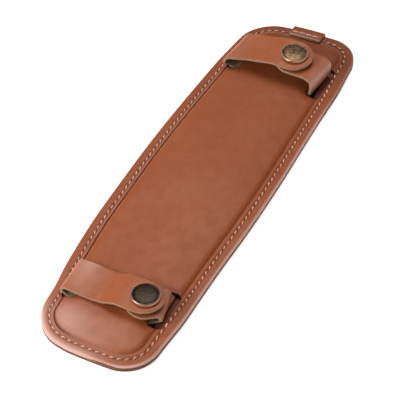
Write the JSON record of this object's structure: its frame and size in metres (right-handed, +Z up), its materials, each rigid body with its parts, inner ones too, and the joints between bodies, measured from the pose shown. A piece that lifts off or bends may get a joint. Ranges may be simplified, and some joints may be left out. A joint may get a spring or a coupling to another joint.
{
  "type": "shoulder strap comfort pad",
  "caption": "Padded leather comfort pad that slips on a bag's shoulder strap, held by two cross loops that open and close with press studs; stitched rim and a folded end tab.",
  "frame": {"origin": "middle of the flat underside, on the resting plane, half way along and across the pad's outline", "axes": "+X across the pad from the flap folds to the tongue folds, +Y along the pad towards the end tab, +Z up from the underside to the loops"},
  "size_m": [0.0756, 0.2673, 0.0206],
  "materials": {
    "tan_leather": "satin",
    "strap_leather": "satin",
    "suede_side": "matte",
    "foam": "matte",
    "thread": "matte",
    "antique_brass": "satin",
    "snap_inner": "satin",
    "spring_wire": "satin"
  },
  "bodies": {
    "pad": {"base_leather": "suede_side", "top_leather": "tan_leather", "foam_pad": "foam", "end_tab": "tan_leather", "needle_thread": "thread", "bobbin_thread": "thread"},
    "front_band": {"front_loop_band": "strap_leather"},
    "front_flap": {"front_loop_flap": "strap_leather", "front_snap_cap": "antique_brass", "front_snap_socket": "snap_inner", "front_snap_spring": "spring_wire"},
    "front_tongue": {"front_loop_tongue": "strap_leather", "front_snap_stud": "snap_inner", "front_snap_post": "snap_inner"},
    "rear_band": {"rear_loop_band": "strap_leather"},
    "rear_flap": {"rear_loop_flap": "strap_leather", "rear_snap_cap": "antique_brass", "rear_snap_socket": "snap_inner", "rear_snap_spring": "spring_wire"},
    "rear_tongue": {"rear_loop_tongue": "strap_leather", "rear_snap_stud": "snap_inner", "rear_snap_post": "snap_inner"}
  },
  "joints": [
    {"name": "front_band_slide", "type": "slide", "parent": "pad", "child": "front_band", "axis": [1, 0, 0], "range_m": [-0.0007, 0.0007]},
    {"name": "front_flap_hinge", "type": "hinge", "parent": "front_band", "child": "front_flap", "pos_m": [-0.02737, -0.0928, 0.00748], "axis": [0, -1, 0], "range_deg": [0, 160]},
    {"name": "front_tongue_hinge", "type": "hinge", "parent": "front_band", "child": "front_tongue", "pos_m": [0.0256, -0.0928, 0.00698], "axis": [0, 1, 0], "range_deg": [0, 80]},
    {"name": "rear_band_slide", "type": "slide", "parent": "pad", "child": "rear_band", "axis": [1, 0, 0], "range_m": [-0.0007, 0.0007]},
    {"name": "rear_flap_hinge", "type": "hinge", "parent": "rear_band", "child": "rear_flap", "pos_m": [-0.02779, 0.0965, 0.01018], "axis": [0, -1, 0], "range_deg": [0, 160]},
    {"name": "rear_tongue_hinge", "type": "hinge", "parent": "rear_band", "child": "rear_tongue", "pos_m": [0.02591, 0.0965, 0.00926], "axis": [0, 1, 0], "range_deg": [0, 80]}
  ],
  "couplings": [
    {"joint": "front_tongue_hinge", "follows": "front_flap_hinge", "ratio": 0.5},
    {"joint": "rear_tongue_hinge", "follows": "rear_flap_hinge", "ratio": 0.5}
  ]
}
